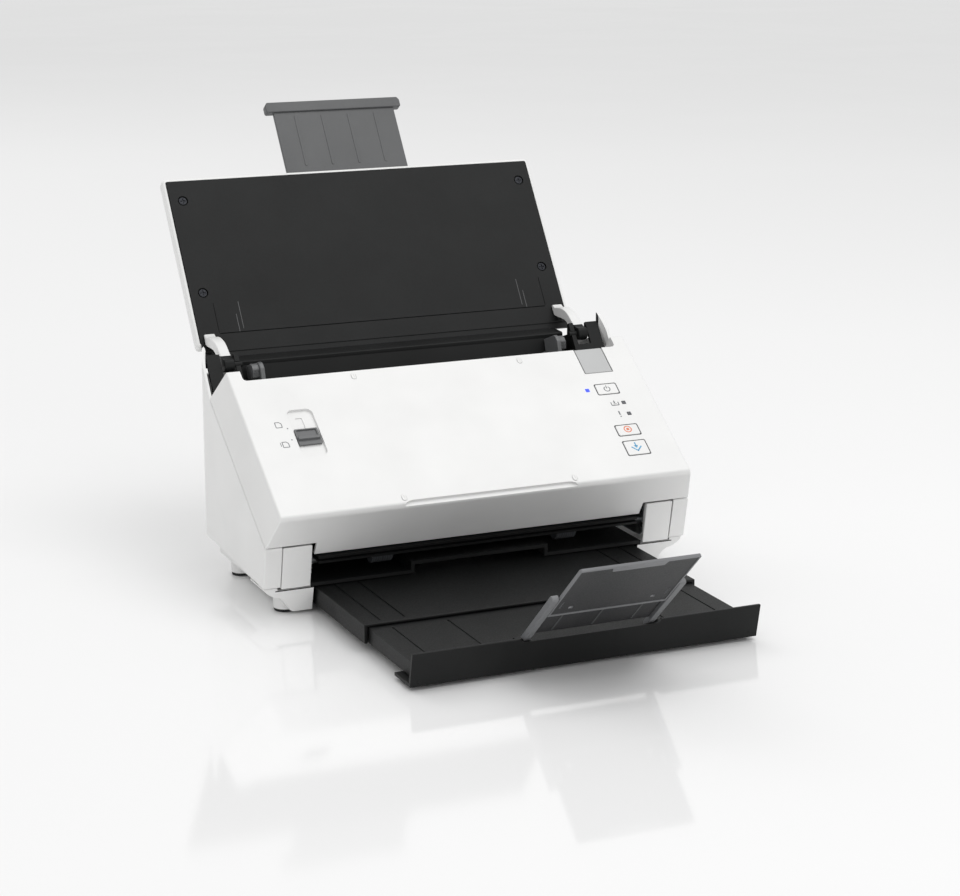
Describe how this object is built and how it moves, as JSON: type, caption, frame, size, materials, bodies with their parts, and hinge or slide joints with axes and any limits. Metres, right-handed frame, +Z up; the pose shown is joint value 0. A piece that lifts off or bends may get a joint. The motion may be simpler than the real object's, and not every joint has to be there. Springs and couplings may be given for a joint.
{
  "type": "sheet fed document scanner",
  "caption": "Desktop document scanner with a sloping cover that opens on front hinges, a folding input tray, sliding edge guides and a two stage output tray with a stopper.",
  "frame": {"origin": "on the desk, at the middle of the whole object's footprint with both trays open", "axes": "+X to the right seen from the front, +Y to the rear, +Z up"},
  "size_m": [0.297, 0.4866, 0.2921],
  "materials": {
    "white_abs": "fine satin texture",
    "black_abs": "fine spark-eroded texture",
    "dark_grey_abs": "fine texture",
    "mid_grey_abs": "satin",
    "light_grey_abs": "satin",
    "zinc_steel": "zinc plated",
    "screw_steel": "black oxide",
    "feed_rubber": "ground",
    "foot_rubber": "moulded",
    "acetal": "natural",
    "float_glass": "polished",
    "circuit_board": "solder resist",
    "led_blue": "clear, lit",
    "led_dark": "clear, unlit"
  },
  "bodies": {
    "base": {"left_side_cover": "white_abs", "right_side_cover": "white_abs", "bottom_cover": "white_abs", "rear_cover": "white_abs", "feed_table": "black_abs", "lower_paper_guide": "black_abs", "lower_scan_unit": "black_abs", "lower_scan_glass": "float_glass", "left_frame_plate": "zinc_steel", "right_frame_plate": "zinc_steel", "main_board": "circuit_board", "usb_socket": "zinc_steel", "power_socket": "black_abs", "drive_motor": "zinc_steel", "rubber_foot_1": "foot_rubber", "rubber_foot_2": "foot_rubber", "rubber_foot_3": "foot_rubber", "rubber_foot_4": "foot_rubber"},
    "cover": {"cover_shell": "white_abs", "cover_frame": "dark_grey_abs", "left_arm_cover": "white_abs", "right_arm_cover": "white_abs", "upper_paper_guide": "black_abs", "upper_scan_unit": "black_abs", "upper_scan_glass": "float_glass", "control_board": "circuit_board", "power_led": "led_blue", "ready_led": "led_dark", "error_led": "led_dark"},
    "tray": {"tray_skin": "white_abs", "tray_plate": "black_abs", "left_tray_arm": "white_abs", "right_tray_arm": "white_abs", "tray_screw_1": "screw_steel", "tray_screw_2": "screw_steel", "tray_screw_3": "screw_steel", "tray_screw_4": "screw_steel"},
    "tray_extension": {"tray_extension": "dark_grey_abs"},
    "left_guide": {"left_edge_guide": "mid_grey_abs"},
    "right_guide": {"right_edge_guide": "mid_grey_abs"},
    "output_tray": {"output_tray": "black_abs"},
    "output_extension": {"output_extension": "black_abs"},
    "stopper": {"stopper_frame": "dark_grey_abs"},
    "stopper_plate": {"stopper_plate": "dark_grey_abs"},
    "release_lever": {"cover_release_lever": "light_grey_abs"},
    "separation_lever": {"separation_lever": "mid_grey_abs"},
    "power_button": {"power_button": "white_abs"},
    "stop_button": {"stop_button": "white_abs"},
    "start_button": {"start_button": "white_abs"},
    "feed_roller": {"feed_roller": "feed_rubber"},
    "pickup_roller": {"pickup_roller": "feed_rubber"},
    "eject_roller": {"eject_roller": "feed_rubber"},
    "pickup_idler_gear": {"pickup_idler_gear": "acetal"},
    "transfer_gear_a": {"transfer_gear_a": "acetal"},
    "transfer_gear_b": {"transfer_gear_b": "acetal"},
    "transfer_gear_c": {"transfer_gear_c": "acetal"},
    "motor_pinion": {"motor_pinion": "acetal"},
    "separation_roller": {"separation_roller": "feed_rubber"},
    "feed_idler": {"feed_idler": "feed_rubber"},
    "eject_idler": {"eject_idler": "feed_rubber"}
  },
  "joints": [
    {"name": "cover_hinge", "type": "hinge", "parent": "base", "child": "cover", "pos_m": [0, -0.01863, 0.03], "axis": [-1, 0, 0], "range_deg": [-50, 0]},
    {"name": "tray_hinge", "type": "hinge", "parent": "base", "child": "tray", "pos_m": [0, 0.09627, 0.1379], "axis": [1, 0, 0], "range_deg": [0, 160]},
    {"name": "tray_extension_slide", "type": "slide", "parent": "tray", "child": "tray_extension", "axis": [0, -0.5721, -0.8202], "range_m": [0, 0.048]},
    {"name": "left_guide_slide", "type": "slide", "parent": "base", "child": "left_guide", "axis": [1, 0, 0], "range_m": [-0.004, 0.055]},
    {"name": "right_guide_slide", "type": "slide", "parent": "base", "child": "right_guide", "axis": [1, 0, 0], "range_m": [-0.055, 0.004]},
    {"name": "output_tray_slide", "type": "slide", "parent": "base", "child": "output_tray", "axis": [0, 1, 0], "range_m": [0, 0.075]},
    {"name": "output_extension_slide", "type": "slide", "parent": "output_tray", "child": "output_extension", "axis": [0, 1, 0], "range_m": [0, 0.067]},
    {"name": "stopper_hinge", "type": "hinge", "parent": "output_extension", "child": "stopper", "pos_m": [0, -0.17443, 0.0195], "axis": [-1, 0, 0], "range_deg": [0, 137.5]},
    {"name": "stopper_plate_slide", "type": "slide", "parent": "stopper", "child": "stopper_plate", "axis": [0, 0.7373, -0.6756], "range_m": [0, 0.018]},
    {"name": "release_lever_pivot", "type": "hinge", "parent": "cover", "child": "release_lever", "pos_m": [0, 0.03887, 0.12344], "axis": [-1, 0, 0], "range_deg": [-7, 0], "stiffness_Nm_per_rad": 0.4, "springref_deg": 2.86},
    {"name": "separation_lever_slide", "type": "slide", "parent": "cover", "child": "separation_lever", "axis": [0, 0.8171, 0.5764], "range_m": [0, 0.013]},
    {"name": "power_button_press", "type": "slide", "parent": "cover", "child": "power_button", "axis": [0, 0.5764, -0.8171], "range_m": [0, 0.0008], "stiffness_N_per_m": 600, "springref_m": -0.001},
    {"name": "stop_button_press", "type": "slide", "parent": "cover", "child": "stop_button", "axis": [0, 0.5764, -0.8171], "range_m": [0, 0.0008], "stiffness_N_per_m": 600, "springref_m": -0.001},
    {"name": "start_button_press", "type": "slide", "parent": "cover", "child": "start_button", "axis": [0, 0.5764, -0.8171], "range_m": [0, 0.0008], "stiffness_N_per_m": 600, "springref_m": -0.001},
    {"name": "feed_roller_spin", "type": "hinge", "parent": "base", "child": "feed_roller", "pos_m": [0, 0.06355, 0.05293], "axis": [1, 0, 0], "continuous": true},
    {"name": "pickup_idler_spin", "type": "hinge", "parent": "base", "child": "pickup_idler_gear", "pos_m": [0, 0.08372, 0.06171], "axis": [1, 0, 0], "continuous": true},
    {"name": "pickup_roller_spin", "type": "hinge", "parent": "base", "child": "pickup_roller", "pos_m": [0, 0.09516, 0.07688], "axis": [1, 0, 0], "continuous": true},
    {"name": "transfer_a_spin", "type": "hinge", "parent": "base", "child": "transfer_gear_a", "pos_m": [0, 0.04272, 0.05025], "axis": [1, 0, 0], "continuous": true},
    {"name": "transfer_b_spin", "type": "hinge", "parent": "base", "child": "transfer_gear_b", "pos_m": [0, 0.02671, 0.04203], "axis": [1, 0, 0], "continuous": true},
    {"name": "transfer_c_spin", "type": "hinge", "parent": "base", "child": "transfer_gear_c", "pos_m": [0, 0.00889, 0.0395], "axis": [1, 0, 0], "continuous": true},
    {"name": "eject_roller_spin", "type": "hinge", "parent": "base", "child": "eject_roller", "pos_m": [0, -0.00834, 0.03148], "axis": [1, 0, 0], "continuous": true},
    {"name": "motor_pinion_spin", "type": "hinge", "parent": "base", "child": "motor_pinion", "pos_m": [0, 0.05095, 0.03893], "axis": [1, 0, 0], "continuous": true},
    {"name": "separation_roller_spin", "type": "hinge", "parent": "cover", "child": "separation_roller", "pos_m": [0, 0.07998, 0.08881], "axis": [1, 0, 0], "continuous": true},
    {"name": "feed_idler_spin", "type": "hinge", "parent": "cover", "child": "feed_idler", "pos_m": [0, 0.05872, 0.06554], "axis": [1, 0, 0], "continuous": true},
    {"name": "eject_idler_spin", "type": "hinge", "parent": "cover", "child": "eject_idler", "pos_m": [0, -0.01093, 0.04371], "axis": [1, 0, 0], "continuous": true}
  ],
  "couplings": [
    {"joint": "right_guide_slide", "follows": "left_guide_slide", "ratio": -1},
    {"joint": "pickup_idler_spin", "follows": "feed_roller_spin", "ratio": -1.2},
    {"joint": "pickup_roller_spin", "follows": "feed_roller_spin", "ratio": 1.3333},
    {"joint": "transfer_a_spin", "follows": "feed_roller_spin", "ratio": -1.3333},
    {"joint": "transfer_b_spin", "follows": "feed_roller_spin", "ratio": 1.3333},
    {"joint": "transfer_c_spin", "follows": "feed_roller_spin", "ratio": -1.3333},
    {"joint": "eject_roller_spin", "follows": "feed_roller_spin", "ratio": 1.2},
    {"joint": "motor_pinion_spin", "follows": "feed_roller_spin", "ratio": 2.4}
  ]
}
